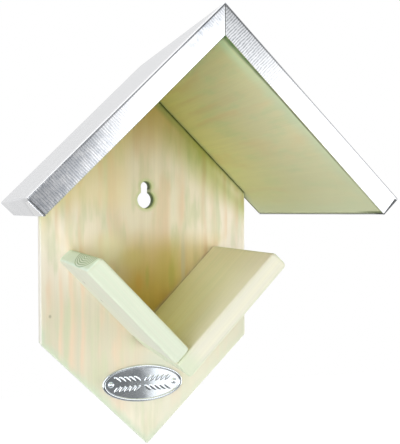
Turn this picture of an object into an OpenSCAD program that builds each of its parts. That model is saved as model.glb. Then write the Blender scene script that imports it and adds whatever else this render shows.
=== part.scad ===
// Wall-hung bird feeder of planed pine, with a square gable roof under folded sheet metal
// and a V-shaped cradle that holds a jar of peanut butter on its side.
// Millimetres. The wall is the plane y = 0, the front looks to -Y, and the origin is the
// centre of the wide part of the hanging hole at the wall.

/* [Back board] */
// Width of the back board
board_w = 134; // [115:1:180]
// Thickness of the back board
board_t = 10.5; // [8:0.5:18]
// Height of the straight sides, from the lower corners up to the roof
side_h = 94; // [85:1:140]
// Height of the pointed lower end, below the lower corners
point_h = 67; // [50:1:90]

/* [Hanging hole] */
// Diameter of the wide hole that passes a screw's head
key_d = 11; // [9:0.5:14]
// Diameter of the narrow hole above it that hangs on the screw's shank
hook_d = 6.6; // [5:0.1:7]
// Width of the neck between the two holes
neck_w = 6.2; // [4:0.1:6.5]
// Rise from the wide hole's centre to the narrow hole's centre
hook_rise = 8.5; // [7:0.5:12]
// Height of the wide hole's centre over the board's lower corners
key_h = 89; // [75:1:100]

/* [Roof] */
// Slope of both sides of the roof
roof_slope = 45; // [43:0.5:47]
// Thickness of the roof boards
roof_t = 10.5; // [8:0.5:18]
// Length of each side from the ridge to the eave, over the metal
roof_len = 126.5; // [116:0.5:170]
// Reach of the roof in front of the back board, over the metal
roof_out = 152; // [130:1:200]
// Thickness of the sheet metal
sheet_t = 0.6; // [0.4:0.1:1.2]

/* [Cradle] */
// Slope of both cradle boards
cradle_slope = 46.5; // [44:0.5:48]
// Thickness of the cradle boards
cradle_t = 10.5; // [8:0.5:16]
// Length of the right board's inner face above the corner
right_len = 68.5; // [50:0.5:80]
// Length of the left board's inner face above the corner
left_len = 67.5; // [50:0.5:80]
// Reach of the cradle in front of the back board
cradle_out = 101; // [85:1:140]
// Place of the inner corner across the back board
corner_x = -1.7; // [-8:0.1:8]
// Height of the inner corner over the board's lower corners
corner_h = 10; // [4:0.5:20]

/* [Plate] */
// Width of the oval plate
plate_w = 52; // [40:1:64]
// Height of the oval plate
plate_h = 23.5; // [20:0.5:30]
// Thickness of the plate's field
plate_t = 0.8; // [0.5:0.1:2]
// Width of the raised rim
rim_w = 2; // [1:0.1:3]
// Rise of the rim over the field
rim_rise = 0.8; // [0.3:0.1:1.5]
// Place of the plate's centre across the back board
plate_x = -3; // [-8:0.5:8]
// Depth of the plate's centre below the board's lower corners
plate_drop = 27.5; // [22:0.5:30]

/* [Nails] */
// Diameter of the nails in the joints
nail_d = 2.2; // [1.6:0.1:2.6]
// Length of the nails in the joints
nail_len = 35; // [28:1:40]
// Diameter of their heads
nail_head_d = 4.6; // [3.6:0.1:6]
// Thickness of their heads
nail_head_t = 1; // [0.6:0.1:1.6]
// How deep the heads are sunk below the wood
nail_sink = 0.4; // [0.3:0.1:1]
// Distance of the upper roof nails from the inner ridge, down the slope
roof_nail_ridge = 35; // [33:1:42]
// Distance of the lower roof nails from the back board's side, along its sloped edge
roof_nail_side = 20; // [10:1:24]
// Distance of the ridge nails from both ends of the ridge
ridge_nail_end = 22; // [18:1:35]
// Number of ridge nails
ridge_nail_count = 3; // [2:1:5]
// Distance of the front cradle nail from the front end
cradle_nail_end = 18; // [10:1:24]
// Distance of the rear cradle nail in front of the screws' tips
cradle_nail_gap = 12; // [6:1:18]

/* [Cradle screws] */
// Diameter of the screws
screw_d = 3.5; // [3:0.1:4]
// Length of the screws
screw_len = 40; // [30:1:45]
// Diameter of the countersunk heads
screw_head_d = 7; // [6:0.1:8]
// Width of the arms of the cross in the head
cross_w = 1; // [0.8:0.1:1.4]
// Span of the cross in the head
cross_span = 4.2; // [3:0.1:5]
// Depth of the cross in the head
cross_depth = 1.3; // [0.8:0.1:1.6]
// Distance of the lower screws from the cradle's inner corner
screw_low = 14; // [12:1:20]
// Distance of the upper screws from the top ends of the cradle boards
screw_top = 17; // [10:1:20]

/* [Plate pins] */
// Diameter of the two pins
pin_d = 1.6; // [1:0.1:2]
// Length of the pins below the head
pin_len = 7; // [5:0.5:8]
// Diameter of their domed heads
pin_head_d = 4; // [3:0.1:5]
// Rise of their domed heads
pin_head_h = 1.2; // [0.8:0.1:1.5]
// Distance of each pin from the end of the plate
pin_end = 5.5; // [5:0.1:8]

/* [Fits] */
// Clearance all round a fastener in its hole
fit = 0.05; // [0.02:0.01:0.1]

/* [Hidden] */
$fn = 48;
pine = [0.88, 0.86, 0.72];
zinc = [0.86, 0.87, 0.89];
polished = [0.78, 0.8, 0.84];
steel = [0.62, 0.63, 0.65];
// Overshoot of cutting tools
over = 1;
// Room left below the tip of a fastener
tip_room = 0.5;

// Where the lines through p along d and through q along e meet
function meet(p, d, q, e) = p + d * cross(q - p, e) / cross(d, e);

// Heights of the back board's corners and of the roof's inner ridge
low_z = -key_h;
shoulder_z = low_z + side_h;
ridge_z = shoulder_z + board_w / 2 * tan(roof_slope);
board_front = -board_t;

// The roof in its own plane, as [x, z]: side is 1 to the right and -1 to the left
roof_front = board_front - roof_out;
ridge = [0, ridge_z];
function down(side) = [side * cos(roof_slope), -sin(roof_slope)];
function out(side) = [side * sin(roof_slope), cos(roof_slope)];
roof_inner = roof_len - sheet_t - (roof_t + sheet_t) * tan(roof_slope);
roof_top = ridge + [0, roof_t / cos(roof_slope)];
cover_top = ridge + [0, (roof_t + sheet_t) / cos(roof_slope)];
roof_lap = meet(ridge, down(1), roof_top, down(-1));
gable_len = board_w / 2 / cos(roof_slope);
function roof_at(side, along, above) = ridge + down(side) * along + out(side) * above;

// The cradle in the same plane
cradle_front = board_front - cradle_out;
corner = [corner_x, low_z + corner_h];
function up(side) = [side * cos(cradle_slope), sin(cradle_slope)];
function under(side) = [side * sin(cradle_slope), -cos(cradle_slope)];
cradle_lap = cradle_t / sin(2 * cradle_slope);
function cradle_at(side, along, below) = corner + up(side) * along + under(side) * below;

// The plate's place, and its outline as an ellipse
plate_z = low_z - plate_drop;
plate_face = board_front - plate_t;
oval_step = 6;
function ellipse(w, h) = [for (turn = [0 : oval_step : 360 - oval_step]) [w / 2 * cos(turn), h / 2 * sin(turn)]];

// Where each fastener enters
roof_nail_at = [roof_nail_ridge, gable_len - roof_nail_side];
ridge_nail_start = meet(roof_at(-1, 0, roof_t / 2), down(-1), roof_at(1, 0, roof_t), down(1));
ridge_nail_step = (-roof_front - 2 * ridge_nail_end) / (ridge_nail_count - 1);
screw_at = [for (side = [-1, 1], along = [screw_low, (side < 0 ? left_len : right_len) - screw_top])
            cradle_at(side, along, cradle_t / 2)];
cradle_nail_start = meet(cradle_at(-1, 0, cradle_t / 2), up(-1), cradle_at(1, 0, cradle_t), up(1));
cradle_nail_at = [cradle_front + cradle_nail_end, -screw_len - cradle_nail_gap];
pin_at = [for (side = [-1, 1]) plate_x + side * (plate_w / 2 - pin_end)];

// A shape drawn in x and z, carried from y = from towards the front
module prism(from, length) {
  translate([0, from, 0])
    rotate([90, 0, 0])
      linear_extrude(length)
        children();
}

// Puts a fastener's entry at a place, pointing along a direction in x and z
module aim(place, y, direction) {
  translate([place[0], y, place[1]])
    rotate([0, atan2(direction[0], direction[1]), 0])
      children();
}

// A round nail along +Z that enters at z = 0, with its flat head sunk below the wood
module nail() {
  translate([0, 0, nail_sink]) {
    cylinder(h = nail_head_t, d = nail_head_d);
    cylinder(h = nail_len, d = nail_d);
  }
}

// The hole that a sunk nail leaves, open at its entry
module nail_hole() {
  translate([0, 0, -over])
    cylinder(h = over + nail_sink + nail_head_t, d = nail_head_d + 2 * fit);
  translate([0, 0, nail_sink])
    cylinder(h = nail_len + tip_room, d = nail_d + 2 * fit);
}

// Turns what follows to each roof nail's place
module each_roof_nail(side) {
  for (along = roof_nail_at)
    aim(roof_at(side, along, roof_t), board_front / 2, -out(side))
      children();
}

// Turns what follows to each ridge nail's place
module each_ridge_nail() {
  for (i = [0 : ridge_nail_count - 1])
    aim(ridge_nail_start, -ridge_nail_end - i * ridge_nail_step, down(-1))
      children();
}

// Turns what follows to each cradle screw's place in the back of the board
module each_screw() {
  for (place = screw_at)
    translate([place[0], 0, place[1]])
      rotate([90, 0, 0])
        children();
}

// Turns what follows to each cradle nail's place
module each_cradle_nail() {
  for (y = cradle_nail_at)
    aim(cradle_nail_start, y, up(-1))
      children();
}

// Turns what follows to each plate pin's place on the plate's field
module each_pin() {
  for (x = pin_at)
    translate([x, plate_face, plate_z])
      rotate([-90, 0, 0])
        children();
}

// The hole of a cradle screw, with its countersink
module screw_hole() {
  sink = (screw_head_d - screw_d) / 2;
  translate([0, 0, -over])
    cylinder(h = over + screw_len + tip_room, d = screw_d + 2 * fit);
  translate([0, 0, fit])
    cylinder(h = sink, d1 = screw_head_d + 2 * fit, d2 = screw_d + 2 * fit);
  translate([0, 0, -over])
    cylinder(h = over + fit, d = screw_head_d + 2 * fit);
}

// The hole of a plate pin, through the plate and into the board
module pin_hole() {
  translate([0, 0, -over])
    cylinder(h = over + pin_len + tip_room, d = pin_d + 2 * fit);
}

// The oval as a solid of a given height, drawn in all round by inset
module oval(inset, height) {
  linear_extrude(height)
    polygon(ellipse(plate_w - 2 * inset, plate_h - 2 * inset));
}

// The keyhole, cut right through the board
module keyhole() {
  translate([0, over, 0])
    rotate([90, 0, 0]) {
      cylinder(h = board_t + 2 * over, d = key_d);
      translate([0, hook_rise, 0])
        cylinder(h = board_t + 2 * over, d = hook_d);
      translate([-neck_w / 2, 0, 0])
        cube([neck_w, hook_rise, board_t + 2 * over]);
    }
}

// The board that hangs on the wall and carries the roof and the cradle
module back_board() {
  color(pine)
    difference() {
      prism(0, board_t)
        polygon([[0, low_z - point_h], [board_w / 2, low_z], [board_w / 2, shoulder_z],
                 ridge, [-board_w / 2, shoulder_z], [-board_w / 2, low_z]]);
      keyhole();
      for (side = [-1, 1])
        each_roof_nail(side) nail_hole();
      each_screw() screw_hole();
      each_pin() pin_hole();
    }
}

// The left roof board, which stops under the right one at the ridge
module roof_board_left() {
  color(pine)
    difference() {
      prism(0, -roof_front - sheet_t)
        polygon([ridge, roof_lap, roof_at(-1, roof_inner, roof_t), roof_at(-1, roof_inner, 0)]);
      each_roof_nail(-1) nail_hole();
      each_ridge_nail() nail_hole();
    }
}

// The right roof board, which runs on over the end of the left one
module roof_board_right() {
  color(pine)
    difference() {
      prism(0, -roof_front - sheet_t)
        polygon([roof_lap, roof_top, roof_at(1, roof_inner, roof_t), roof_at(1, roof_inner, 0)]);
      each_roof_nail(1) nail_hole();
      each_ridge_nail() nail_hole();
    }
}

// The sheet metal over both boards, folded down over their eaves and their front ends
module roof_cover() {
  lip = [for (side = [-1, 1]) roof_at(side, roof_inner + sheet_t, 0)];
  edge = [for (side = [-1, 1]) roof_at(side, roof_inner + sheet_t, roof_t + sheet_t)];
  color(zinc) {
    prism(0, -roof_front)
      polygon([lip[0], edge[0], cover_top, edge[1], lip[1], roof_at(1, roof_inner, 0),
               roof_at(1, roof_inner, roof_t), roof_top, roof_at(-1, roof_inner, roof_t),
               roof_at(-1, roof_inner, 0)]);
    prism(roof_front + sheet_t, sheet_t)
      polygon([lip[0], edge[0], cover_top, edge[1], lip[1], ridge]);
  }
}

// The left cradle board, whose lower end stands on the right board
module cradle_board_left() {
  color(pine)
    difference() {
      prism(board_front, cradle_out)
        polygon([corner, cradle_at(1, -cradle_lap, 0), cradle_at(-1, left_len, cradle_t),
                 cradle_at(-1, left_len, 0)]);
      each_screw() screw_hole();
      each_cradle_nail() nail_hole();
    }
}

// The right cradle board, which runs on below the end of the left one
module cradle_board_right() {
  color(pine)
    difference() {
      prism(board_front, cradle_out)
        polygon([cradle_at(1, -cradle_lap, 0), cradle_at(1, right_len, 0),
                 cradle_at(1, right_len, cradle_t), cradle_at(1, -cradle_lap, cradle_t)]);
      each_screw() screw_hole();
      each_cradle_nail() nail_hole();
    }
}

// The oval metal plate with its raised rim
module oval_plate() {
  color(polished)
    difference() {
      translate([plate_x, board_front, plate_z])
        rotate([90, 0, 0])
          difference() {
            oval(0, plate_t + rim_rise);
            translate([0, 0, plate_t])
              oval(rim_w, rim_rise + over);
          }
      each_pin() pin_hole();
    }
}

// The two domed pins that hold the plate
module plate_pins() {
  dome_r = (pow(pin_head_d / 2, 2) + pow(pin_head_h, 2)) / (2 * pin_head_h);
  color(polished)
    each_pin() {
      cylinder(h = pin_len, d = pin_d);
      intersection() {
        translate([0, 0, dome_r - pin_head_h])
          sphere(r = dome_r);
        translate([0, 0, -pin_head_h - over])
          cylinder(h = pin_head_h + over, d = pin_head_d + over);
      }
    }
}

// The nails from the roof boards down into the back board
module roof_nails() {
  color(steel)
    for (side = [-1, 1])
      each_roof_nail(side) nail();
}

// The nails from the right roof board into the end of the left one
module ridge_nails() {
  color(steel)
    each_ridge_nail() nail();
}

// The countersunk screws from behind into the ends of the cradle boards
module cradle_screws() {
  sink = (screw_head_d - screw_d) / 2;
  color(steel)
    each_screw()
      difference() {
        union() {
          translate([0, 0, fit])
            cylinder(h = sink, d1 = screw_head_d, d2 = screw_d);
          translate([0, 0, fit])
            cylinder(h = screw_len - fit, d = screw_d);
        }
        for (turn = [0, 90])
          rotate([0, 0, turn])
            translate([-cross_span / 2, -cross_w / 2, -over])
              cube([cross_span, cross_w, over + fit + cross_depth]);
      }
}

// The nails from below through the right cradle board into the end of the left one
module cradle_nails() {
  color(steel)
    each_cradle_nail() nail();
}

back_board();
roof_board_left();
roof_board_right();
roof_cover();
cradle_board_left();
cradle_board_right();
oval_plate();
plate_pins();
roof_nails();
ridge_nails();
cradle_screws();
cradle_nails();
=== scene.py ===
import math

import bpy
from mathutils import Matrix, Vector


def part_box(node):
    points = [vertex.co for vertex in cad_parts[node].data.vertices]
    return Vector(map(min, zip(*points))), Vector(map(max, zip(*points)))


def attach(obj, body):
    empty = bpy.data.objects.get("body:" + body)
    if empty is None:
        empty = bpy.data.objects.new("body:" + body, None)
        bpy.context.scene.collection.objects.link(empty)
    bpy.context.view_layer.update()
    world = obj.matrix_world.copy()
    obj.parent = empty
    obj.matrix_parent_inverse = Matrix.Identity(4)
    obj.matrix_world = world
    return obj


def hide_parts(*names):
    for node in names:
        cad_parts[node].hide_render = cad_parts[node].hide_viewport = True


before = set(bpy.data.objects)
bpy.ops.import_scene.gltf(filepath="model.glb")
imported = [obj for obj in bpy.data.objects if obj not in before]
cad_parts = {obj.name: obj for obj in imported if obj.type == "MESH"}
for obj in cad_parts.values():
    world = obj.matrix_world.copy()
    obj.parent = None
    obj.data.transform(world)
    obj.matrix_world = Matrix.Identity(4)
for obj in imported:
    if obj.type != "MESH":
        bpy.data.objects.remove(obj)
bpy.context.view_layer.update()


# Back board
# One planed pine board with upright grain, sawn to a gable at the top and to a point at the bottom.
# Its edges are eased by hand, a keyhole hangs it on a wall screw, and a thin green wash finishes it.
MM = 0.001
tolerance = 0.02 * MM
board_low, board_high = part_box("back_board")
board_mid_y = board_low.y / 2
board_eased = 1.0 * MM
keyhole_r = 5.5 * MM
hook_r = 3.3 * MM
hook_rise = 8.5 * MM
neck_w = 6.2 * MM
keyhole_eased = 1.0 * MM
keyhole_reach = hook_rise + hook_r + 0.3 * MM
bit_sides = 48
through = 3 * (board_high.y - board_low.y)
gable_side = Vector((1, 0, 1)).normalized()
point_side = Vector((1, 0, -1)).normalized()


def close_editing():
    """Leaves edit mode with nothing selected."""
    if bpy.context.mode != "OBJECT":
        bpy.ops.object.mode_set(mode="OBJECT")
    bpy.ops.object.select_all(action="DESELECT")


def take(piece):
    """Makes a piece the only selected and active one."""
    close_editing()
    piece.select_set(True)
    bpy.context.view_layer.objects.active = piece


def name_new(name):
    """Gives the piece that was just made its name."""
    piece = bpy.context.object
    piece.name = name
    piece.data.name = name
    return piece


def settle():
    """Sets the selected piece's place, turn and scale into its mesh."""
    bpy.ops.object.transform_apply(location=True, rotation=True, scale=True)


def start_board(name, centre, size, tilt=0.0):
    """A sawn block of a given size about a centre, tilted about the depth."""
    close_editing()
    bpy.ops.mesh.primitive_cube_add(size=1, location=centre, rotation=(0, tilt, 0), scale=size)
    board = name_new(name)
    settle()
    return board


def saw(board, point, away):
    """Saws a board along a plane, and drops what lies on the away side."""
    take(board)
    bpy.ops.object.mode_set(mode="EDIT")
    bpy.ops.mesh.select_all(action="SELECT")
    bpy.ops.mesh.bisect(plane_co=point, plane_no=away, use_fill=True, clear_outer=True)
    close_editing()


def apply_modifier(piece, modifier):
    """Applies one modifier of a piece."""
    take(piece)
    bpy.ops.object.modifier_apply(modifier=modifier.name)


def ease_edges(piece, width, segments=3):
    """Rounds all sharp edges of a piece."""
    bevel = piece.modifiers.new("eased edges", "BEVEL")
    bevel.width = width
    bevel.segments = segments
    bevel.limit_method = "ANGLE"
    bevel.angle_limit = math.radians(35)
    apply_modifier(piece, bevel)


def combine(piece, other, operation):
    """Cuts another shape out of a piece or joins it on, and puts that shape away."""
    combined = piece.modifiers.new("combined", "BOOLEAN")
    combined.operation = operation
    combined.solver = "EXACT"
    combined.object = other
    apply_modifier(piece, combined)
    bpy.data.objects.remove(other)


def drill(board, centre, radius, length, direction, end_radius=None):
    """Drills a round hole about a centre, along a direction, tapered if it has another end radius."""
    close_editing()
    turn = Vector(direction).to_track_quat("Z", "Y").to_euler()
    far = radius if end_radius is None else end_radius
    bpy.ops.mesh.primitive_cone_add(vertices=bit_sides, radius1=radius, radius2=far, depth=length,
                                    location=centre, rotation=turn)
    combine(board, bpy.context.object, "DIFFERENCE")


def pick(piece, kind, wanted):
    """Opens a piece for editing, with each vertex, edge or face selected whose corners are all wanted."""
    take(piece)
    mesh = piece.data
    for part in (*mesh.vertices, *mesh.edges, *mesh.polygons):
        part.select = False
    for part in {"VERT": mesh.vertices, "EDGE": mesh.edges, "FACE": mesh.polygons}[kind]:
        corners = [part.co] if kind == "VERT" else [mesh.vertices[i].co for i in part.vertices]
        part.select = all(wanted(c) for c in corners)
    bpy.context.tool_settings.mesh_select_mode = (kind == "VERT", kind == "EDGE", kind == "FACE")
    bpy.ops.object.mode_set(mode="EDIT")


def smooth(piece, angle=40):
    """Shades a piece smoothly over its rounded edges, with its flat faces kept flat."""
    take(piece)
    bpy.ops.object.shade_smooth_by_angle(angle=math.radians(angle))
    weighted = piece.modifiers.new("flat faces", "WEIGHTED_NORMAL")
    weighted.keep_sharp = True
    apply_modifier(piece, weighted)
    close_editing()


def near(a, b):
    """Whether two lengths are the same to a fiftieth of a millimetre."""
    return abs(a - b) < tolerance


def on_keyhole_rim(c):
    """Whether a corner of the board lies round the keyhole, in the front face."""
    return near(c.y, board_low.y) and Vector((c.x, c.z)).length < keyhole_reach


back_board = start_board("pine_back_board", (board_low + board_high) / 2, board_high - board_low)
for side in (-1, 1):
    saw(back_board, (0, 0, board_high.z), (side * gable_side.x, 0, gable_side.z))
    saw(back_board, (0, 0, board_low.z), (side * point_side.x, 0, point_side.z))
ease_edges(back_board, board_eased)
drill(back_board, (0, board_mid_y, 0), keyhole_r, through, (0, 1, 0))
drill(back_board, (0, board_mid_y, hook_rise), hook_r, through, (0, 1, 0))
neck = start_board("neck bit", (0, board_mid_y, hook_rise / 2), (neck_w, through, hook_rise))
combine(back_board, neck, "DIFFERENCE")
pick(back_board, "EDGE", on_keyhole_rim)
bpy.ops.mesh.bevel(offset=keyhole_eased, segments=3, clamp_overlap=False)
smooth(back_board)


def paint(red, green, blue):
    """A colour as it is seen, in steps of 255, as the linear colour that a shader takes."""
    steps = [c / 255 for c in (red, green, blue)]
    return (*[c / 12.92 if c < 0.04045 else ((c + 0.055) / 1.055) ** 2.4 for c in steps], 1)


def fill(tree, node, inputs):
    """Fills a node's inputs with values or with other nodes' outputs."""
    for name, value in inputs.items():
        if isinstance(value, bpy.types.NodeSocket):
            tree.links.new(value, node.inputs[name])
        else:
            node.inputs[name].default_value = value


def put(tree, kind, inputs, **settings):
    """Adds a node with its settings and its filled inputs."""
    made = tree.nodes.new(f"ShaderNode{kind}")
    for name, value in settings.items():
        setattr(made, name, value)
    fill(tree, made, inputs)
    return made


def sums(tree, operation, value, *others):
    """Arithmetic on one value, or on a value and others in turn."""
    for other in others or (0.0,):
        value = put(tree, "Math", {0: value, 1: other}, operation=operation).outputs[0]
    return value


def times(tree, *values):
    """Values multiplied together."""
    return sums(tree, "MULTIPLY", *values)


def plus(tree, *values):
    """Values added together."""
    return sums(tree, "ADD", *values)


def minus(tree, *values):
    """The first value less the others."""
    return sums(tree, "SUBTRACT", *values)


def most(tree, *values):
    """The largest of the values."""
    return sums(tree, "MAXIMUM", *values)


def vectors(tree, operation, a, b=(0, 0, 0)):
    """One step of arithmetic on two vectors."""
    made = put(tree, "VectorMath", {0: a, 1: b}, operation=operation)
    return made.outputs["Value" if operation in ("LENGTH", "DISTANCE", "DOT_PRODUCT") else "Vector"]


def split(tree, vector):
    """The three parts of a vector."""
    return put(tree, "SeparateXYZ", {0: vector}).outputs[:]


def between(tree, value, low, high, none=0.0, full=1.0):
    """A straight change from low at none to high at full."""
    limits = {"Value": value, "From Min": none, "From Max": full, "To Min": low, "To Max": high}
    return put(tree, "MapRange", limits).outputs["Result"]


def fade(tree, value, none, full):
    """A soft step from 0 at none to 1 at full."""
    limits = {"Value": value, "From Min": none, "From Max": full}
    return put(tree, "MapRange", limits, interpolation_type="SMOOTHSTEP").outputs["Result"]


def blend(tree, share, first, second, blend_type="MIX"):
    """A mix of two colours."""
    return put(tree, "Mix", {0: share, 6: first, 7: second}, data_type="RGBA",
               blend_type=blend_type).outputs[2]


def cloud(tree, place, scale, detail=2.0, output="Fac"):
    """Soft noise, from 0 to 1, at a scale for each axis."""
    scaled = vectors(tree, "MULTIPLY", place, scale)
    noise = put(tree, "TexNoise", {"Vector": scaled, "Scale": 1.0, "Detail": detail})
    return noise.outputs[output]


def make_group(name, takes, gives):
    """An empty node group with named inputs and outputs, and its two end nodes."""
    group = bpy.data.node_groups.new(name, "ShaderNodeTree")
    kinds = {"value": "NodeSocketFloat", "vector": "NodeSocketVector", "colour": "NodeSocketColor"}
    for way, sockets in (("INPUT", takes), ("OUTPUT", gives)):
        for socket, kind in sockets.items():
            group.interface.new_socket(socket, in_out=way, socket_type=kinds[kind])
    return group, group.nodes.new("NodeGroupInput").outputs, group.nodes.new("NodeGroupOutput")


def make_pine():
    """Washed pine in millimetres: Z runs along the grain, Y through the board and X across it.
    Growth rings lie round the heart of the log, the wash gathers on sawn ends, sides and edges, and a share
    of painted shade blends in a darker shade colour."""
    takes = {"Place": "vector", "Heart": "vector", "Ring Width": "value", "Half Width": "value",
             "Half Thickness": "value", "End Distance": "value", "Painted Shade": "value", "Face": "colour",
             "Ring": "colour", "Wash": "colour", "Side": "colour", "End": "colour", "Edge": "colour",
             "Raw": "colour", "Ring Share": "value", "End Ring Share": "value", "Wash Share": "value",
             "Edge Share": "value", "Edge Width": "value", "End Width": "value"}
    gives = {"Color": "colour", "Roughness": "value", "Height": "value"}
    group, given, result = make_group("washed pine", takes, gives)
    place = vectors(group, "SUBTRACT", given["Place"], given["Heart"])
    for scale, reach in (((0.02, 0.02, 0.007), 9), ((0.06, 0.06, 0.03), 2)):
        wander = cloud(group, given["Place"], scale, output="Color")
        wander = vectors(group, "SUBTRACT", wander, (0.5, 0.5, 0.5))
        place = vectors(group, "ADD", place, vectors(group, "MULTIPLY", wander, (reach, reach, 0)))
    from_heart = vectors(group, "LENGTH", vectors(group, "MULTIPLY", place, (1, 1, 0)))
    turn = sums(group, "DIVIDE", from_heart, given["Ring Width"])
    uneven = put(group, "TexNoise", {"W": turn, "Scale": 0.6, "Detail": 1.0},
                 noise_dimensions="1D").outputs["Fac"]
    part = sums(group, "FRACT", plus(group, turn, times(group, uneven, 1.5)))
    late = times(group, fade(group, part, 0.1, 0.65), fade(group, part, 1.0, 0.7))
    clear = fade(group, cloud(group, given["Place"], (0.07, 0.07, 0.022)), 0.4, 0.6)
    seen = times(group, late, plus(group, 0.15, times(group, clear, 0.85)))
    fibre = cloud(group, given["Place"], (1.3, 1.3, 0.022), 3.0)
    patch = fade(group, cloud(group, given["Place"], (0.13, 0.13, 0.03), 3.0), 0.45, 0.68)
    band = cloud(group, given["Place"], (0.35, 0.35, 0.006))
    mottle = cloud(group, given["Place"], (0.35, 0.35, 0.1), 3.0)

    colour = blend(group, times(group, seen, given["Ring Share"]), given["Face"], given["Ring"])
    early = minus(group, 1.0, times(group, seen, 0.7))
    colour = blend(group, times(group, patch, early, given["Wash Share"]), colour, given["Wash"])
    shaded_wood = blend(group, times(group, seen, 0.5), given["Raw"], given["Ring"], "MULTIPLY")
    colour = blend(group, given["Painted Shade"], colour, shaded_wood)

    x, y = split(group, vectors(group, "ABSOLUTE", given["Place"]))[:2]
    across = minus(group, given["Half Width"], x)
    deep = minus(group, given["Half Thickness"], y)
    ends = given["End Distance"]
    pairs = [most(group, a, b) for a, b in ((across, deep), (deep, ends), (ends, across))]
    to_edge = sums(group, "MINIMUM", *pairs)
    ragged = times(group, minus(group, mottle, 0.5), 5.0)
    at_edge = fade(group, plus(group, to_edge, ragged), given["Edge Width"], 0.4)
    at_side = fade(group, across, 1.4, 0.3)
    at_end = fade(group, ends, given["End Width"], 0.3)
    colour = blend(group, times(group, at_edge, given["Edge Share"]), colour, given["Edge"])
    side_tone = minus(group, 0.9, times(group, late, 0.2))
    colour = blend(group, times(group, at_side, side_tone), colour, given["Side"])
    end_tone = minus(group, 0.95, times(group, late, given["End Ring Share"]))
    colour = blend(group, times(group, at_end, end_tone), colour, given["End"])

    shade = times(group, between(group, fibre, 0.975, 1.02, 0.25, 0.75),
                  between(group, band, 0.97, 1.025, 0.25, 0.75))
    grey = put(group, "CombineXYZ", {0: shade, 1: shade, 2: shade}).outputs[0]
    height = plus(group, times(group, fibre, 0.6), times(group, late, 0.4))
    fill(group, result, {"Color": blend(group, 1.0, colour, grey, "MULTIPLY"),
                         "Roughness": between(group, fibre, 0.58, 0.78), "Height": height})
    return group


def make_knot():
    """A small knot or streak: how much it tints a place, by its half sizes about its middle."""
    takes = {"Place": "vector", "Middle": "vector", "Half Size": "vector"}
    group, given, result = make_group("knot", takes, {"Mask": "value"})
    away = vectors(group, "SUBTRACT", given["Place"], given["Middle"])
    away = vectors(group, "LENGTH", vectors(group, "DIVIDE", away, given["Half Size"]))
    fill(group, result, {"Mask": fade(group, away, 1.0, 0.2)})
    return group


pine = make_pine()
knot = make_knot()


def begin_material(name):
    """A new material with its node tree, its Principled shader and its Object coordinates."""
    material = bpy.data.materials.new(name)
    material.use_nodes = True
    tree = material.node_tree
    place = put(tree, "TexCoord", {}).outputs["Object"]
    return material, tree, tree.nodes["Principled BSDF"], place


def board_place(tree, place, centre, grain, face):
    """Object coordinates turned into a board's own, in millimetres, with Z along the grain."""
    turn = Matrix((face.cross(grain), face, grain)).transposed().to_euler()
    inputs = {"Vector": place, "Location": centre, "Rotation": turn, "Scale": (MM, MM, MM)}
    return put(tree, "Mapping", inputs, vector_type="TEXTURE").outputs[0]


def place_group(tree, group, inputs):
    """One use of a node group in a material."""
    return put(tree, "Group", inputs, node_tree=group).outputs


def add_knot(tree, colour, place, middle, half_size, tint, share):
    """Lays a small knot or streak on a wood colour."""
    mask = place_group(tree, knot, {"Place": place, "Middle": middle, "Half Size": half_size})["Mask"]
    return blend(tree, times(tree, mask, share), colour, tint)


def finish_board(board, node, material, tree, shader, colour, wood):
    """Plugs a board's finished pattern into its shader, and lets the board stand for its solid."""
    bump = put(tree, "Bump", {"Height": wood["Height"], "Strength": 0.4, "Distance": 0.08 * MM})
    fill(tree, shader, {"Base Color": colour, "Roughness": wood["Roughness"],
                        "Normal": bump.outputs["Normal"], "Specular IOR Level": 0.3})
    board.data.materials.append(material)
    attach(board, "root")
    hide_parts(node)


material, tree, shader, place = begin_material("washed pine, back board")
board_half = (board_high - board_low) / 2 / MM
front_face = board_half.y
in_board = board_place(tree, place, (0, board_mid_y, 0), Vector((0, 0, 1)), Vector((0, -1, 0)))
x, y, z = split(tree, in_board)
away = sums(tree, "ABSOLUTE", x)
at_front = fade(tree, y, -1, 3)
over_point = minus(tree, z, board_low.z / MM, away)
under_gable = minus(tree, board_high.z / MM, z, away)
ends = times(tree, sums(tree, "MINIMUM", over_point, under_gable), math.sqrt(0.5))

# Painted shade, darker and yellower, lies in the V of the cradle and high under the ridge.
v_corner = (1.7, front_face, -79)
over_corner = minus(tree, z, v_corner[2])
beside_corner = sums(tree, "ABSOLUTE", minus(tree, x, v_corner[0]))
in_v = fade(tree, minus(tree, over_corner, beside_corner), -4, 4)
near_corner = fade(tree, vectors(tree, "DISTANCE", in_board, v_corner), 62, 12)
by_left_arm = times(tree, fade(tree, x, 6, 24), 0.6)
painted_shade = times(tree, plus(tree, fade(tree, z, -16, -36), near_corner), 0.5)
painted_shade = times(tree, painted_shade, in_v, minus(tree, 1.0, by_left_arm))
painted_shade = most(tree, painted_shade, times(tree, fade(tree, z, 20, 62), 0.82))
painted_shade = times(tree, painted_shade, at_front)
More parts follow.
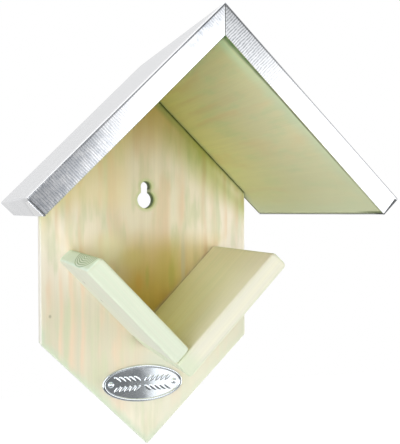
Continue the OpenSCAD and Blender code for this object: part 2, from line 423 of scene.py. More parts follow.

# The face is paler high up and at the tip, and a painted shadow darkens the sawn gable and yellows the
# edges where the roof boards meet it.
upper = fade(tree, z, -75, -25)
gable_shadow_line = times(tree, fade(tree, under_gable, 3.0, 1.2), at_front)
end_tint = blend(tree, gable_shadow_line, paint(228, 236, 218), paint(72, 84, 46))
edge_tint = blend(tree, upper, paint(236, 230, 209), paint(253, 246, 231))
edge_tint = blend(tree, fade(tree, over_point, 16, 7), edge_tint, paint(208, 224, 198))
edge_tint = blend(tree, fade(tree, under_gable, 16, 6), edge_tint, paint(226, 212, 160))
edge_tint = blend(tree, gable_shadow_line, edge_tint, paint(150, 160, 104))
high_tint = blend(tree, fade(tree, away, 20, 50), paint(247, 239, 223), paint(255, 245, 233))
low_tint = blend(tree, fade(tree, z, -105, -145), paint(223, 217, 194), paint(240, 236, 215))
wood = place_group(tree, pine, {
    "Place": in_board, "End Distance": ends, "Painted Shade": painted_shade, "Heart": (2, -52, 0), "Ring Width": 5.0,
    "Half Width": board_half.x, "Half Thickness": board_half.y,
    "Face": blend(tree, upper, low_tint, high_tint), "Ring": paint(239, 213, 186),
    "Wash": paint(210, 217, 182), "Side": paint(253, 250, 242), "End": end_tint, "Edge": edge_tint,
    "Raw": paint(222, 195, 106), "Ring Share": 0.68, "End Ring Share": 0.3, "End Width": 1.2,
    "Wash Share": 0.55, "Edge Share": 0.75, "Edge Width": 6.0})

# A knot at the left and soft streaks, each with its place across and up, half sizes, tint and share.
streaks = (
    ((61, -71.8), (1.2, 3, 1.6), paint(150, 144, 118), 0.6),
    ((-24.3, -39), (2.2, 3, 24), paint(206, 206, 190), 0.5),
    ((-11, -103), (20, 6, 16), paint(211, 217, 200), 0.8),
    # The pale patch left of the V is painted light on the face that the roof and the cradle shade.
    ((24, -31), (14, 6, 16), paint(252, 247, 216), 0.75),
    ((10, -37), (11, 6, 10), paint(226, 213, 146), 0.5),
    ((-14, -42), (13, 6, 24), paint(208, 200, 108), 0.4),
    ((-0.5, -49), (2.0, 3, 11), paint(188, 192, 104), 0.4),
    ((-16.5, -48), (3.4, 3, 14), paint(186, 190, 102), 0.4),
    # The orange streak deep in the V is painted shade.
    ((5, -53), (4, 3, 9), paint(229, 176, 92), 0.4),
)
colour = wood["Color"]
for (aside, up), half_size, tint, share in streaks:
    colour = add_knot(tree, colour, in_board, (aside, front_face, up), half_size, tint, share)
near_right_cut = times(tree, fade(tree, over_point, 26, 8), fade(tree, x, -2, -14), 0.7)
colour = blend(tree, near_right_cut, colour, paint(230, 230, 210))

# Painted shade darkens and greens the face in the corner under the roof, most of all along the right
# crease, and the face is lighter at the upper left.
at_side = fade(tree, x, -38, -60)
off_side = minus(tree, 1.0, times(tree, at_side, fade(tree, under_gable, 14, 5), 0.6))
shade_end = minus(tree, 36.0, times(tree, at_side, 10.0))
gable_shade = times(tree, fade(tree, under_gable, shade_end, -4), fade(tree, z, 66, 26))
gable_shade = times(tree, gable_shade, at_front, off_side)
colour = blend(tree, gable_shade, colour, paint(233, 237, 188), "MULTIPLY")
upper_left = times(tree, fade(tree, x, 6, 18), fade(tree, z, -12, 4), at_front, 0.42)
colour = blend(tree, upper_left, colour, paint(254, 237, 190))
from_ridge = fade(tree, x, -8, -34)
crease_shade = times(tree, fade(tree, under_gable, 9, 3), fade(tree, x, 2, -8), at_front)
crease_shade = times(tree, crease_shade, minus(tree, 1.0, times(tree, from_ridge, 0.9)))
colour = blend(tree, crease_shade, colour, paint(206, 228, 206), "MULTIPLY")
green_shade = times(tree, fade(tree, under_gable, shade_end, 6), from_ridge, off_side, at_front)
colour = blend(tree, green_shade, colour, paint(219, 229, 196), "MULTIPLY")

# The wash has run into the keyhole and stained its rim.
in_face = vectors(tree, "MULTIPLY", in_board, (1, 0, 1))
from_keyhole = minus(tree, vectors(tree, "LENGTH", in_face), keyhole_r / MM)
from_hook = minus(tree, vectors(tree, "DISTANCE", in_face, (0, 0, hook_rise / MM)), hook_r / MM)
from_hole = sums(tree, "MINIMUM", from_keyhole, from_hook)
rim_stain = times(tree, fade(tree, from_hole, 3.0, 0.6), 0.55)
colour = blend(tree, rim_stain, colour, paint(206, 220, 168))
# Inside the keyhole the wall is green, and painted shade makes it darker deeper in.
wall_tint_and_shade = blend(tree, fade(tree, y, 0.5, 4.0), paint(112, 128, 84), paint(200, 212, 152))
colour = blend(tree, fade(tree, from_hole, 0.5, 0.1), colour, wall_tint_and_shade)
finish_board(back_board, "back_board", material, tree, shader, colour, wood)


# Roof boards
# Two pine boards with their grain along the depth, nailed on the gable and to each other.
# The right one runs on over the end of the left one, and the metal hides their tops and front ends.
roof_slope = math.radians(45)
roof_low, roof_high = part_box("roof_board_right")
roof_t = 10.5 * MM
roof_eased = 1.0 * MM
inner_ridge = Vector((0, 0, board_high.z))
roof_depth = roof_high.y - roof_low.y
roof_inner = (roof_high.x - roof_t * math.sin(roof_slope)) / math.cos(roof_slope)


def down_roof(side):
    """Down one side of the roof."""
    return Vector((side * math.cos(roof_slope), 0, -math.sin(roof_slope)))


def off_roof(side):
    """Straight out of one side of the roof."""
    return Vector((side * math.sin(roof_slope), 0, math.cos(roof_slope)))


def roof_at(side, along, above, y):
    """A place on one side of the roof: down from the inner ridge, over the inner face, along the depth."""
    place = inner_ridge + down_roof(side) * along + off_roof(side) * above
    return Vector((place.x, y, place.z))


roof_pine = {
    -1: {"Heart": (-30, 60, 0), "Ring Width": 4.5},
    1: {"Heart": (-14, 58, 0), "Ring Width": 5.0},
}
roof_foot = {-1: (paint(92, 90, 48), paint(92, 90, 48)), 1: (paint(108, 118, 82), paint(82, 120, 72))}
for side, start, name in ((-1, 0.0, "left"), (1, -roof_t, "right")):
    length = roof_inner - start
    centre = roof_at(side, start + length / 2, roof_t / 2, (roof_low.y + roof_high.y) / 2)
    board = start_board(f"pine_roof_board_{name}", centre, (length, roof_depth, roof_t), side * roof_slope)
    ease_edges(board, roof_eased)
    smooth(board)

    # Painted shade makes the wood darker and yellower by the wall and dark on its front end under the
    # metal, and the wood is duller at the eave.
    material, tree, shader, place = begin_material(f"washed pine, {name} roof board")
    in_board = board_place(tree, place, centre, Vector((0, 1, 0)), off_roof(side))
    x, y, z = split(tree, in_board)
    ends = minus(tree, roof_depth / 2 / MM, sums(tree, "ABSOLUTE", z))
    from_wall = minus(tree, roof_depth / 2 / MM, z)
    up_slope = times(tree, x, side)
    from_eave = plus(tree, up_slope, length / 2 / MM)
    near_ridge = fade(tree, from_eave, 72, 122)
    # Green wash with painted shadow darkens the eave side and the foot of the front end towards the front,
    # where they meet the metal.
    side_tint = blend(tree, fade(tree, from_wall, 60, 140), paint(176, 180, 136), paint(84, 100, 62))
    foot_tint = blend(tree, near_ridge, *roof_foot[side])
    shaded_front_end = blend(tree, fade(tree, y, -3.6, -4.6), paint(48, 52, 44), foot_tint)
    end_tint = blend(tree, fade(tree, from_wall, 40, 100), paint(226, 218, 182), shaded_front_end)
    wood = place_group(tree, pine, {
        **roof_pine[side], "Place": in_board, "End Distance": ends,
        "Painted Shade": times(tree, fade(tree, from_wall, 120, 10), 0.5), "Half Width": length / 2 / MM,
        "Half Thickness": roof_t / 2 / MM, "Face": paint(224, 222, 184), "Ring": paint(230, 212, 172),
        "Wash": paint(206, 220, 180), "Side": side_tint, "End": end_tint, "Edge": paint(210, 226, 196),
        "Raw": paint(234, 233, 134), "Ring Share": 0.5, "End Ring Share": 0.1, "Wash Share": 0.6,
        "End Width": plus(tree, 1.7, times(tree, near_ridge, 4.5)),
        "Edge Share": 0.7, "Edge Width": 18.0})
    at_eave = times(tree, fade(tree, up_slope, 0, -55), 0.6)
    colour = blend(tree, at_eave, wood["Color"], paint(196, 199, 161))
    colour = blend(tree, near_ridge, colour, paint(255, 255, 239), "MULTIPLY")
    mint = times(tree, near_ridge, fade(tree, from_wall, 145, 154), fade(tree, ends, 3.0, 7.0), 0.6)
    colour = blend(tree, mint, colour, paint(214, 240, 204))
    # Painted shadow darkens the eave corner towards the front, by the lip.
    eave_corner_shadow = times(tree, fade(tree, from_eave, 2.4, 1.4), fade(tree, from_wall, 132, 158))
    colour = blend(tree, eave_corner_shadow, colour, paint(122, 132, 96))
    rear_arris = times(tree, fade(tree, from_wall, 4.0, 1.6), fade(tree, y, -3.4, -4.6))
    colour = blend(tree, rear_arris, colour, paint(100, 103, 64))
    finish_board(board, f"roof_board_{name}", material, tree, shader, colour, wood)


# Roof cover
# One sheet of bright galvanised steel, folded over the ridge, the eaves and the front ends of the boards.
# The two front strips meet in a mitre at the ridge, and a tab of each strip is folded back on its eave lip.
cover_low, cover_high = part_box("roof_cover")
sheet_t = 0.6 * MM
fold_r = 0.8 * MM
ridge_fold_r = 1.6 * MM
mitre_gap = 0.18 * MM
strip_crown = 0.06 * MM
strip_short = 0.25 * MM
slit_top = 1.5 * MM
slit_foot = 0.6 * MM
left_slit = 0.8 * MM
cover_len = cover_high.x / math.cos(roof_slope)
cover_top = Vector((0, 0, cover_high.z))
eave = cover_top + down_roof(1) * cover_len
left_eave = Vector((-eave.x, 0, eave.z))
lip_len = (eave.z - cover_low.z) / math.cos(roof_slope)
strip_levels = [0, 1.5 * MM, 4 * MM, 6.5 * MM, 9 * MM, lip_len - strip_short]

close_editing()
bpy.ops.mesh.primitive_plane_add(size=1, rotation=(0, roof_slope, 0))
cover = name_new("zinc_roof_cover")
cover.location = (cover_top + eave) / 2 + Vector((0, cover_low.y / 2, 0))
cover.scale = (cover_len, cover_high.y - cover_low.y, 1)
settle()


def on_slope(c):
    """Whether a corner of the sheet lies on its sloping outer face."""
    return near((c - cover_top).dot(off_roof(math.copysign(1, c.x))), 0)


def in_front(c):
    """Whether a corner of the sheet lies on its front strip."""
    return c.y < cover_low.y + 2 * strip_crown


def on_strip_at(c, side, level):
    """Whether a corner of the sheet lies on one side's front strip, at a depth below the fold."""
    return in_front(c) and near((cover_top - c).dot(off_roof(side)), level)


def at_eave_fold(c):
    """Whether a corner of the sheet lies on its right eave lip or on the fold above it."""
    return near((c - eave).dot(down_roof(1)), 0)


def slit_at(level):
    """How wide the slit between a front strip's right end and its lip is, at a depth below the fold."""
    return slit_top + (slit_foot - slit_top) * level / lip_len


def draw_out(move):
    """Extrudes what is selected by a move."""
    bpy.ops.mesh.extrude_region_move(TRANSFORM_OT_translate={"value": move})


pick(cover, "EDGE", in_front)
for level, next_level in zip(strip_levels, strip_levels[1:]):
    draw_out((level - next_level) * off_roof(1))
for level in strip_levels:
    pick(cover, "VERT", lambda c: on_strip_at(c, 1, level))
    bpy.ops.transform.translate(value=(0, strip_crown * (2 * level / lip_len - 1) ** 2, 0))
    if level > 0:
        pick(cover, "VERT", lambda c: on_strip_at(c, 1, level) and at_eave_fold(c))
        bpy.ops.transform.translate(value=-slit_at(level) * down_roof(1))
pick(cover, "EDGE", lambda c: at_eave_fold(c) and on_slope(c))
draw_out(-lip_len * off_roof(1))
pick(cover, "FACE", in_front)
bpy.ops.mesh.bisect(plane_co=(0, 0, 0), plane_no=(1, 0, 0), clear_inner=True)
pick(cover, "VERT", lambda c: near(c.x, 0) and in_front(c) and not on_slope(c))
bpy.ops.transform.translate(value=(mitre_gap, 0, 0))
pick(cover, "EDGE", lambda c: on_slope(c) and (at_eave_fold(c) or in_front(c)))
bpy.ops.mesh.bevel(offset=fold_r, segments=4)
close_editing()
mirror = cover.modifiers.new("left side", "MIRROR")
mirror.merge_threshold = tolerance
apply_modifier(cover, mirror)
for level in strip_levels[1:]:
    pick(cover, "VERT", lambda c: on_strip_at(c, -1, level)
         and near((left_eave - c).dot(down_roof(-1)), slit_at(level)))
    bpy.ops.transform.translate(value=(slit_at(level) - left_slit) * down_roof(-1))
pick(cover, "EDGE", lambda c: near(c.x, 0) and near(c.z, cover_top.z))
bpy.ops.mesh.bevel(offset=ridge_fold_r, segments=4)
close_editing()
gauge = cover.modifiers.new("gauge", "SOLIDIFY")
gauge.thickness = sheet_t
gauge.offset = -1
gauge.use_even_offset = True
apply_modifier(cover, gauge)
smooth(cover, 30)

tab_t = 0.4 * MM
tab_bed = 0.1 * MM
tab_eased = 0.15 * MM
tab_top = 1.6 * MM
tab_foot = lip_len - 0.3 * MM
tab_mid = (tab_top + tab_foot) / 2
tab_front = cover_low.y + 1.4 * MM
tab_rear_top = cover_low.y + 14 * MM
tab_rear_foot = cover_low.y + 34 * MM


def on_lip(down, y, proud):
    """A place on the right eave lip: down from its fold, along the depth, and out of its face."""
    place = eave - off_roof(1) * down + down_roof(1) * proud
    return Vector((place.x, y, place.z))


close_editing()
bpy.ops.mesh.primitive_plane_add(size=1, rotation=(0, roof_slope + math.pi / 2, 0))
tabs = name_new("zinc_corner_tabs")
tabs.location = on_lip(tab_mid, (tab_front + tab_rear_top) / 2, -tab_bed)
tabs.scale = (tab_foot - tab_top, tab_rear_top - tab_front, 1)
settle()
pick(tabs, "VERT", lambda c: near(c.y, tab_rear_top) and c.z < on_lip(tab_mid, 0, 0).z)
bpy.ops.transform.translate(value=(0, tab_rear_foot - tab_rear_top, 0))
pick(tabs, "FACE", lambda c: True)
draw_out((tab_t + tab_bed) * down_roof(1))
bpy.ops.mesh.select_all(action="SELECT")
bpy.ops.mesh.normals_make_consistent(inside=False)
close_editing()
ease_edges(tabs, tab_eased, 2)
mirror = tabs.modifiers.new("left side", "MIRROR")
mirror.use_mirror_merge = False
apply_modifier(tabs, mirror)
smooth(tabs, 30)

# Places on the sheet in millimetres: down from the ridge, off the outer slope, behind the front.
material, tree, shader, place = begin_material("bright zinc sheet")
x, y, z = split(tree, place)
aside = sums(tree, "ABSOLUTE", x)
below = minus(tree, cover_top.z, z)
along = times(tree, plus(tree, aside, below), math.sqrt(0.5) / MM)
across = times(tree, minus(tree, aside, below), math.sqrt(0.5) / MM)
deep = sums(tree, "DIVIDE", y, MM)
from_front = minus(tree, deep, cover_low.y / MM)
past_eave = minus(tree, along, cover_len / MM)
down_lip = minus(tree, 0.0, across)
on_strip = fade(tree, from_front, 0.34, 0.2)
on_left = fade(tree, x, 0, -0.5 * MM)
on_right = fade(tree, x, 0, 0.5 * MM)
rolled = put(tree, "CombineXYZ", {0: along, 1: across, 2: deep}).outputs[0]
lines = fade(tree, cloud(tree, rolled, (1.5, 0.05, 0.05), 3.0), 0.3, 0.7)
dull = cloud(tree, rolled, (0.05, 0.05, 0.05), 3.0)
shade = blend(tree, lines, paint(226, 228, 232), paint(239, 240, 243))

# The front strips carry fine cross lines; wear and painted reflection darken them most at the left foot, at
# the right top and under the fold by the ridge.
line_gap = 1.15
sway = cloud(tree, rolled, (0.3, 0.2, 0.25))
ripple = sums(tree, "SINE", times(tree, plus(tree, along, sway), 2 * math.pi / line_gap))
broken = minus(tree, cloud(tree, rolled, (0.7, 0.7, 0.5), 3.0), 0.5)
marks = fade(tree, plus(tree, ripple, times(tree, broken, 3.5)), -0.5, 1.1)
blots = fade(tree, cloud(tree, rolled, (0.4, 0.3, 0.3), 3.0), 0.35, 0.65)
creased = plus(tree, times(tree, marks, 0.3), times(tree, blots, 0.27))
left_foot = times(tree, on_left, fade(tree, along, 48, 102), creased)
marked = plus(tree, 0.52, times(tree, marks, 0.45))
right_top = times(tree, on_right, fade(tree, along, 66, 14), marked)
apex_reflection = times(tree, fade(tree, along, 44, 14), plus(tree, 0.16, times(tree, blots, 0.4)))
fine = times(tree, fade(tree, along, 46, 76), marks, 0.28)
apex_reflection = times(tree, most(tree, apex_reflection, fine), fade(tree, across, -10, -2), on_left)
wear_and_reflection = most(tree, left_foot, right_top, apex_reflection)
wear_and_reflection_tint = blend(tree, on_left, paint(108, 112, 115), paint(98, 116, 136))
shade = blend(tree, times(tree, wear_and_reflection, on_strip, 0.85), shade, wear_and_reflection_tint)

# The folds have a painted highlight on top and a painted dark reflection below, the lips are painted dark
# inside and grey on their front edges as shade, a painted shadow lies behind each tab, and the tabs are
# paler.
fold_highlight = times(tree, fade(tree, from_front, 11, 4), fade(tree, across, -0.5, -0.25))
shade = blend(tree, fold_highlight, shade, paint(252, 253, 255))
fold_line = times(tree, fade(tree, across, -1.5, -0.9), fade(tree, across, -0.3, -0.5),
                  fade(tree, from_front, 0.75, 0.5))
fold_reflection_dark = plus(tree, 0.1, times(tree, fade(tree, along, 50, 8), 0.2))
shade = blend(tree, times(tree, fold_line, fold_reflection_dark), shade, paint(112, 114, 119))
inside_lip_shade = times(tree, fade(tree, past_eave, -0.4, -0.5), fade(tree, past_eave, -1.2, -0.9),
                   fade(tree, down_lip, 1.2, 2.0), fade(tree, from_front, 0.6, 0.8),
                   fade(tree, from_front, 10, 4))
shade = blend(tree, inside_lip_shade, shade, paint(104, 106, 92))
lip_edge_shade = times(tree, fade(tree, past_eave, -0.8, -0.5), fade(tree, from_front, 1.6, 1.0),
                 fade(tree, down_lip, 1.0, 1.8))
shade = blend(tree, lip_edge_shade, shade, paint(150, 153, 158))
tab_slant = (tab_rear_foot - tab_rear_top) / lip_len
behind_tab = minus(tree, y, tab_rear_top, times(tree, down_lip, tab_slant * MM))
tab_shadow = times(tree, fade(tree, behind_tab, 22 * MM, 2 * MM), fade(tree, past_eave, -0.5, -0.2), 0.7)
shade = blend(tree, tab_shadow, shade, paint(196, 199, 203))
shade = blend(tree, fade(tree, past_eave, 0.1, 0.3), shade, paint(243, 244, 245))
on_rest = minus(tree, 1.0, on_strip)
height = plus(tree, times(tree, lines, on_rest), times(tree, ripple, on_strip, 0.35))
bump = put(tree, "Bump", {"Height": height, "Strength": 0.2, "Distance": 0.03 * MM})
fill(tree, shader, {"Base Color": shade, "Roughness": between(tree, dull, 0.12, 0.24),
                    "Normal": bump.outputs["Normal"], "Metallic": 1.0})
for sheet in (cover, tabs):
    sheet.data.materials.append(material)
    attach(sheet, "root")
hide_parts("roof_cover")


# Cradle boards
# Two short pine boards that form a V for a jar on its side, with their grain up the slope.
# The left one stands on the right one, nails join them from below and screws hold them from behind.
cradle_slope = math.radians(46.5)
cradle_t = 10.5 * MM
cradle_eased = 1.4 * MM
end_rounded = 2.2 * MM
foot_rounded = 1.8 * MM
cradle_corner = Vector((-1.7, 0, -79)) * MM
cradle_low, cradle_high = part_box("cradle_board_right")
left_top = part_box("cradle_board_left")[1].z
cradle_depth = cradle_high.y - cradle_low.y
cradle_mid_y = (cradle_low.y + cradle_high.y) / 2
cradle_lap = cradle_t / math.sin(2 * cradle_slope)
right_len = (cradle_high.z - cradle_corner.z) / math.sin(cradle_slope)
left_len = (left_top - cradle_corner.z) / math.sin(cradle_slope)


def up_cradle(side):
    """Up one side of the cradle."""
    return Vector((side * math.cos(cradle_slope), 0, math.sin(cradle_slope)))


def under_cradle(side):
    """Straight out of the under side of one cradle board."""
    return Vector((side * math.sin(cradle_slope), 0, -math.cos(cradle_slope)))


def cradle_at(side, along, below, y):
    """A place on one cradle board: up from the inner corner, under the inner face, along the depth."""
    place = cradle_corner + up_cradle(side) * along + under_cradle(side) * below
    return Vector((place.x, y, place.z))


def round_edges_at(board, way, distance, width):
    """Rounds the edges of a board that lie at a distance from the cradle's corner, measured one way."""
    pick(board, "EDGE", lambda c: near((c - cradle_corner).dot(way), distance))
    bpy.ops.mesh.bevel(offset=width, segments=4)
    close_editing()


cradle_pine = {
    -1: {"Heart": (30, 7, 0), "Ring Width": 1.8, "Face": paint(237, 240, 222),
         "Ring": paint(232, 231, 211), "Wash": paint(228, 240, 218), "Side": paint(226, 236, 214),
         "End": paint(238, 254, 238), "Edge": paint(234, 240, 214), "Raw": paint(236, 230, 190),
         "Ring Share": 0.4, "End Ring Share": 0.1},
    1: {"Heart": (-20, 50, 0), "Ring Width": 3.5, "Face": paint(252, 249, 220),
        "Ring": paint(244, 236, 202), "Wash": paint(240, 243, 212), "Side": paint(237, 235, 217),
        "End": paint(226, 236, 208), "Edge": paint(222, 229, 203), "Raw": paint(255, 252, 198),
        "Ring Share": 0.1, "End Ring Share": 0.3},
}
small_knots = ((-22.7, 22.7), (-23.8, 7.2))
arc_heart = (19, 3.6, 0)
arc_squeeze = (0.31, 1, 0)
arcs_per_mm = 0.72
cradle_boards = {}
for side, top, name in ((1, right_len, "right"), (-1, left_len, "left")):
    length = top + cradle_lap
    centre = cradle_at(side, length / 2 - cradle_lap, cradle_t / 2, cradle_mid_y)
    size = (length, cradle_depth, cradle_t)
    board = start_board(f"pine_cradle_board_{name}", centre, size, -side * cradle_slope)
    round_edges_at(board, up_cradle(side), top, end_rounded)
    if side < 0:
        saw(board, cradle_corner, under_cradle(1))
        round_edges_at(board, under_cradle(1), 0, foot_rounded)
    ease_edges(board, cradle_eased)
    smooth(board)

    # The left board shows ring arcs in its end and two knots below, and the right one is paler in front as
    # painted light.
    material, tree, shader, place = begin_material(f"washed pine, {name} cradle board")
    in_board = board_place(tree, place, centre, up_cradle(side), -under_cradle(side))
    x, y, z = split(tree, in_board)
    ends = minus(tree, length / 2 / MM, sums(tree, "ABSOLUTE", z))
    from_foot = plus(tree, z, length / 2 / MM)
    # Painted shade makes the inner face darker and yellower towards the foot of the V.
    painted_shade = times(tree, fade(tree, from_foot, 60, -6), fade(tree, y, 3, 5), 0.7)
    wood = place_group(tree, pine, {
        **cradle_pine[side], "Place": in_board, "End Distance": ends, "Painted Shade": painted_shade,
        "Half Width": cradle_depth / 2 / MM, "Half Thickness": cradle_t / 2 / MM, "Wash Share": 0.5,
        "Edge Share": 0.4, "Edge Width": 4.0, "End Width": 1.2})
    colour = wood["Color"]
    if side < 0:
        for aside, up in small_knots:
            middle = (aside, -cradle_t / 2 / MM, up)
            colour = add_knot(tree, colour, in_board, middle, (1.7, 3, 2.0), paint(104, 108, 92), 0.85)
        from_arcs = vectors(tree, "MULTIPLY", vectors(tree, "SUBTRACT", in_board, arc_heart), arc_squeeze)
        arc_r = vectors(tree, "LENGTH", from_arcs)
        arc_part = sums(tree, "FRACT", times(tree, arc_r, arcs_per_mm))
        arcs = times(tree, fade(tree, arc_part, 0.2, 0.5), fade(tree, arc_part, 1.0, 0.75))
        in_arcs = times(tree, fade(tree, arc_r, 8.6, 7.8), fade(tree, ends, 0.8, 0.2), 0.75)
        arc_tint = blend(tree, arcs, paint(244, 252, 240), paint(160, 186, 146))
        colour = blend(tree, in_arcs, colour, arc_tint)
    else:
        inner_face = fade(tree, y, 4.2, 5.2)
        front_painted_light = times(tree, fade(tree, x, 5, -50), inner_face, 0.5)
        colour = blend(tree, front_painted_light, colour, paint(246, 240, 228))
        foot_wash = times(tree, fade(tree, from_foot, 15, 4), fade(tree, x, -48.5, -49.8), 0.7)
        colour = blend(tree, foot_wash, colour, paint(222, 234, 204))
        # A painted shadow line darkens the right board's rear edge against the back board.
        colour = blend(tree, fade(tree, x, 48.4, 49.6), colour, paint(122, 116, 56))
        high = times(tree, fade(tree, from_foot, 50, 85), inner_face)
        colour = blend(tree, high, colour, paint(244, 239, 240), "MULTIPLY")
        # Painted shade dulls its lower front edge.
        under_edge_shade = times(tree, fade(tree, y, -3.4, -4.4), fade(tree, x, -48.4, -49.6))
        colour = blend(tree, times(tree, under_edge_shade, 0.35), colour, paint(206, 213, 188))
    finish_board(board, f"cradle_board_{name}", material, tree, shader, colour, wood)
    cradle_boards[side] = board


# Nails and screws
# Bright steel fasteners: nails in the roof and the cradle, and countersunk screws from behind.
# Most of them lie inside the wood, and only their heads show, in countersinks behind and in dents below.
sink_r = 3.6 * MM
sink_deep = 1.9 * MM
dent_r = 2.4 * MM
dent_deep = 1.3 * MM
overcut = 0.02 * MM
nail_inset = 2.3 * MM
screw_low = 14 * MM
screw_below_top = 17 * MM
for side, top in ((-1, left_len), (1, right_len)):
    for along in (screw_low, top - screw_below_top):
        middle = cradle_at(side, along, cradle_t / 2, -sink_deep / 2)
        drill(back_board, middle, sink_r - sink_deep, sink_deep + overcut, (0, 1, 0), sink_r)
smooth(back_board)
nail_low, nail_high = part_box("cradle_nails")
for y in (nail_low.y + nail_inset, nail_high.y - nail_inset):
    middle = cradle_at(1, -cradle_lap / 2, cradle_t - dent_deep / 2, y)
    drill(cradle_boards[1], middle, dent_r, dent_deep + overcut, under_cradle(1))
smooth(cradle_boards[1])
material, tree, shader, place = begin_material("bright steel")
wear = cloud(tree, place, (900, 900, 900), 3.0)
fill(tree, shader, {"Base Color": blend(tree, wear, paint(168, 170, 174), paint(205, 207, 210)),
                    "Roughness": between(tree, wear, 0.3, 0.55), "Metallic": 1.0})
for node in ("roof_nails", "ridge_nails", "cradle_screws", "cradle_nails"):
    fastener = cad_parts[node]
    fastener.data.materials.clear()
    fastener.data.materials.append(material)


# Oval plate
# A pressed plate of polished metal with a rounded rim and a gently crowned field.
# A plain spray of seed shapes is pressed up in the field, and two domed pins hold the plate on the board.
plate_low, plate_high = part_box("oval_plate")
plate_mid = (plate_low + plate_high) / 2
plate_w = plate_high.x - plate_low.x
plate_h = plate_high.z - plate_low.z
plate_sides = 96
hairline = 0.001 * MM
rim_w = 2.0 * MM
rim_rise = 0.8 * MM
rim_round = 0.75 * MM
field_y = plate_low.y + rim_rise
crown_rings = (0.9, 0.78, 0.64, 0.48, 0.3, 0.12)
crown_rise = 0.12 * MM
seed_sides = 20
seed_len = 5.4 * MM
seed_w = 2.1 * MM
seed_rise = 0.4 * MM
seed_lean = math.radians(38)
seed_first = 3.4 * MM
seed_step = 3.2 * MM
seed_off = 3.0 * MM
seed_pairs = 5
facing = (math.radians(90), 0, 0)


def start_oval(sides, width, height):
    """A flat oval that faces the front, about the origin."""
    close_editing()
    bpy.ops.mesh.primitive_circle_add(vertices=sides, radius=0.5, fill_type="NGON", rotation=facing)
    oval = bpy.context.object
    oval.scale = (width, height, 1)
    return oval


start_oval(plate_sides, plate_w, plate_h)
plate = name_new("polished_oval_plate")
plate.location = (plate_mid.x, plate_high.y, plate_mid.z)
settle()
pick(plate, "FACE", lambda c: True)
draw_out((0, plate_low.y - plate_high.y, 0))
bpy.ops.mesh.inset(thickness=rim_w)
draw_out((0, rim_rise, 0))
outer = 1.0
for ring in crown_rings:
    bpy.ops.mesh.inset(thickness=hairline)
    bpy.ops.transform.resize(value=(ring / outer, 1, ring / outer), center_override=plate_mid)
    bpy.ops.transform.translate(value=(0, -crown_rise * (outer ** 2 - ring ** 2), 0))
    outer = ring
pick(plate, "EDGE", lambda c: near(c.y, plate_low.y))
bpy.ops.mesh.bevel(offset=rim_round, segments=4)

seed = start_oval(seed_sides, seed_len, seed_w)
settle()
pick(seed, "FACE", lambda c: True)
draw_out((0, -seed_rise - crown_rise, 0))
bpy.ops.mesh.inset(thickness=0.3 * seed_w)
bpy.ops.transform.translate(value=(0, -0.5 * seed_rise, 0))
spray = []
for hand in (-1, 1):
    for pair in range(seed_pairs):
        for lean in (-1, 1):
            take(seed)
            bpy.ops.object.duplicate()
            copy = bpy.context.object
            along = seed_first + pair * seed_step
            sink = crown_rise * (1 - (along / (plate_w / 2 - rim_w)) ** 2)
            copy.rotation_euler = (0, -hand * lean * seed_lean, 0)
            copy.location = plate_mid + Vector((hand * along, 0, lean * seed_off))
            copy.location.y = field_y + crown_rise - sink
            settle()
            spray.append(copy)
bpy.data.objects.remove(seed)
for copy in spray:
    combine(plate, copy, "UNION")
smooth(plate, 50)

polished, tree, shader, place = begin_material("polished metal")
smear = cloud(tree, place, (120, 120, 120), 3.0)
fill(tree, shader, {"Base Color": blend(tree, smear, paint(206, 215, 222), paint(233, 237, 240)),
                    "Roughness": between(tree, smear, 0.05, 0.14), "Metallic": 1.0})
plate.data.materials.append(polished)
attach(plate, "root")
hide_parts("oval_plate")

pin_low, pin_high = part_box("plate_pins")
pin_r = 2.0 * MM
pin_rise = 1.2 * MM
shank_r = 0.8 * MM
shank_end = 7.0 * MM
shank_point = 1.2 * MM
pin_steps = 32
pin_profile = [(0, pin_rise), (0.35 * pin_r, 0.94 * pin_rise), (0.65 * pin_r, 0.76 * pin_rise),
               (0.88 * pin_r, 0.46 * pin_rise), (pin_r, 0.12 * pin_rise), (0.97 * pin_r, 0), (shank_r, 0),
               (shank_r, shank_point - shank_end), (0, -shank_end)]


def turn_on_lathe(name, profile, steps):
    """A round piece turned about its upright axis, from a profile of radius and height."""
    close_editing()
    bpy.ops.mesh.primitive_plane_add(size=MM)
    piece = name_new(name)
    bpy.context.tool_settings.mesh_select_mode = (True, False, False)
    bpy.ops.object.mode_set(mode="EDIT")
    bpy.ops.mesh.select_all(action="SELECT")
    bpy.ops.mesh.merge(type="CENTER")
    bpy.ops.transform.translate(value=(profile[0][0], 0, profile[0][1]))
    for (r, z), (next_r, next_z) in zip(profile, profile[1:]):
        bpy.ops.mesh.extrude_vertices_move(TRANSFORM_OT_translate={"value": (next_r - r, 0, next_z - z)})
    bpy.ops.mesh.select_all(action="SELECT")
    bpy.ops.mesh.spin(steps=steps, angle=2 * math.pi, center=(0, 0, 0), axis=(0, 0, 1), use_auto_merge=True)
    bpy.ops.mesh.select_all(action="SELECT")
    bpy.ops.mesh.remove_doubles(threshold=hairline)
    bpy.ops.mesh.normals_make_consistent(inside=False)
    close_editing()
    return piece


pin = turn_on_lathe("polished_plate_pins", pin_profile, pin_steps)
pin.rotation_euler = facing
pin.location = (pin_low.x + pin_r, field_y, plate_mid.z)
take(pin)
bpy.ops.object.duplicate()
bpy.context.object.location.x = pin_high.x - pin_r
pin.select_set(True)
bpy.context.view_layer.objects.active = pin
bpy.ops.object.join()
settle()
smooth(pin)
pin.data.materials.append(polished)
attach(pin, "root")
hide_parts("plate_pins")


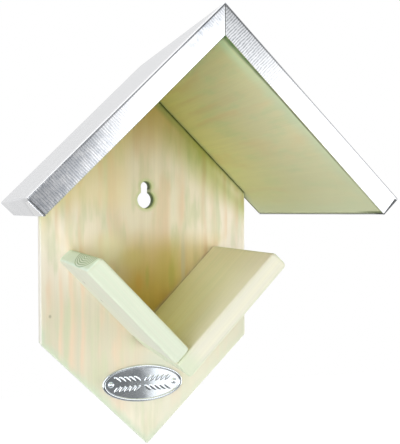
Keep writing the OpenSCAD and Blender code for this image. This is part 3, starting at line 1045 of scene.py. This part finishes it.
# Studio
# A pale floor well below the hanging feeder, an even white surround, and large soft lamps on either side.
# The surround is white where it is seen or mirrored behind the feeder, and dim on the camera's side.
scene = bpy.context.scene
scene.view_settings.view_transform = "Standard"
floor_z = board_low.z - 0.65
floor_front = -0.45
floor_back = 3.0
floor_side = 3.0
floor_glow = 1.2
glow_share = 0.85
mirrored_share = 0.3
close_editing()
bpy.ops.mesh.primitive_plane_add(size=1, location=(0, (floor_front + floor_back) / 2, floor_z))
floor = name_new("studio_floor")
floor.scale = (2 * floor_side, floor_back - floor_front, 1)
settle()
material, tree, shader, place = begin_material("pale floor")
grain = cloud(tree, place, (6, 6, 6))
fill(tree, shader, {"Base Color": blend(tree, grain, paint(243, 243, 243), paint(247, 247, 247)),
                    "Roughness": 0.9})
rays = put(tree, "LightPath", {}).outputs
seen = most(tree, rays["Is Camera Ray"], rays["Is Transmission Ray"],
            times(tree, rays["Is Glossy Ray"], mirrored_share))
glow = put(tree, "Emission", {"Color": (1, 1, 1, 1), "Strength": floor_glow}).outputs[0]
mixed = put(tree, "MixShader", {0: times(tree, seen, glow_share), 1: shader.outputs[0], 2: glow})
fill(tree, tree.nodes["Material Output"], {"Surface": mixed.outputs[0]})
floor.data.materials.append(material)

plain_light = 0.3
dim_side = 0.43
white_side = 0.84
left_panel = Vector((-0.78, -0.35, 0.52)).normalized()
top_panel = Vector((-0.4, -0.25, 0.88)).normalized()
black_card = Vector((-0.02, -0.87, 0.48)).normalized()
world = bpy.data.worlds.new("studio surround")
scene.world = world
world.use_nodes = True
tree = world.node_tree
rays = put(tree, "LightPath", {}).outputs
mirrored = most(tree, rays["Is Glossy Ray"], rays["Is Transmission Ray"])
towards = put(tree, "TexCoord", {}).outputs["Generated"]
x, y, z = split(tree, towards)
panels = most(tree, fade(tree, vectors(tree, "DOT_PRODUCT", towards, left_panel), 0.85, 0.9),
              fade(tree, vectors(tree, "DOT_PRODUCT", towards, top_panel), 0.9, 0.94))
behind = fade(tree, minus(tree, y, times(tree, x, 0.35)), 0.3, 0.55)
right_wall = times(tree, fade(tree, x, 0.55, 0.75), 0.28)
pale = most(tree, behind, panels, right_wall)
height = minus(tree, times(tree, fade(tree, z, 0.36, 0.55), 0.4),
               times(tree, fade(tree, z, -0.03, -0.14), 0.08))
card = fade(tree, vectors(tree, "DOT_PRODUCT", towards, black_card), 0.962, 0.978)
front = minus(tree, dim_side, times(tree, fade(tree, z, -0.08, -0.18), 0.2))
front = times(tree, front, minus(tree, 1.0, times(tree, card, 0.4)))
mirror_level = between(tree, pale, front, plus(tree, white_side, height))
level = blend(tree, mirrored, (plain_light, plain_light, plain_light, 1), mirror_level)
level = blend(tree, rays["Is Camera Ray"], level, (1, 1, 1, 1))
fill(tree, tree.nodes["Background"], {"Color": level})

# Each softbox has its middle, its width and height, the place that it faces, and its glow.
feeder_mid = (0, -0.06, -0.03)
softboxes = {
    "right front softbox": ((0.71, -1.3, 0.08), (1.12, 0.66), (0.71, 0, 0.08), 1.35),
    "right low softbox": ((0.79, -1.3, -0.52), (0.92, 0.5), (0.79, 0, -0.52), 1.35),
    "right side softbox": ((1.332, -0.295, -0.392), (1, 1), feeder_mid, 3.4),
    "left side softbox": ((-1.314, -0.538, -0.103), (1, 1), feeder_mid, 2.1),
    "left front softbox": ((-0.656, -1.293, -0.128), (1, 1), feeder_mid, 2.6),
    "rear softbox": ((0, 1.4, 0.1), (1, 1), (0, 0, -0.03), 3.2),
}
for name, (middle, size, aim, glow) in softboxes.items():
    lamp = bpy.data.lights.new(name, "AREA")
    lamp.shape = "RECTANGLE"
    lamp.size, lamp.size_y = size
    lamp.energy = glow * math.pi * lamp.size * lamp.size_y
    softbox = bpy.data.objects.new(name, lamp)
    softbox.location = middle
    softbox.rotation_euler = (Vector(middle) - Vector(aim)).to_track_quat("Z", "Y").to_euler()
    softbox.visible_camera = False
    softbox.visible_glossy = name != "rear softbox"
    scene.collection.objects.link(softbox)


# Camera
# A studio camera a little to the left of the feeder, at about the height of its keyhole, half a metre away.
# Its focal length is given in pixels of a picture that is 444 pixels high.
eye = Vector((-121.94, -506.31, -7.96)) * MM
yaw = math.radians(17.66)
pitch = math.radians(-0.71)
roll = math.radians(-0.22)
picture_h = 444
focal_pixels = 800.38
camera = bpy.data.objects.new("camera", bpy.data.cameras.new("camera"))
camera.data.sensor_width = 36
camera.data.lens = focal_pixels * camera.data.sensor_width / picture_h
camera.data.clip_start = 0.01
ahead = Vector((math.sin(yaw) * math.cos(pitch), math.cos(yaw) * math.cos(pitch), math.sin(pitch)))
level_right = Vector((math.cos(yaw), -math.sin(yaw), 0))
level_up = level_right.cross(ahead)
right = math.cos(roll) * level_right + math.sin(roll) * level_up
up = math.cos(roll) * level_up - math.sin(roll) * level_right
camera.matrix_world = Matrix((right, up, -ahead)).transposed().to_4x4()
camera.location = eye
scene.collection.objects.link(camera)
scene.camera = camera
